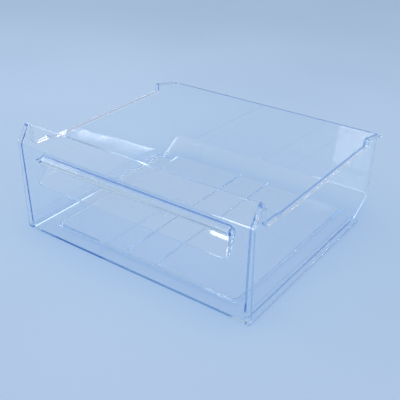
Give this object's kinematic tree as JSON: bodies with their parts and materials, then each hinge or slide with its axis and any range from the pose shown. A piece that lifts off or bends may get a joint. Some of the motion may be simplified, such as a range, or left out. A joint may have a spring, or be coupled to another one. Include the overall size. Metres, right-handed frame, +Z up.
{
  "type": "freezer drawer",
  "caption": "Clear moulded freezer drawer: open tray with runner rims, ears and stops, and a front panel with a full-width finger-grip pocket.",
  "frame": {"origin": "middle of the footprint, on the surface the drawer stands on", "axes": "+X across the front to the viewer's right, +Y from the grip at the front to the back wall, +Z up"},
  "size_m": [0.441, 0.399, 0.181],
  "materials": {
    "clear_plastic": "clear polished polystyrene"
  },
  "bodies": {
    "root": {"drawer": "clear_plastic"}
  },
  "joints": []
}
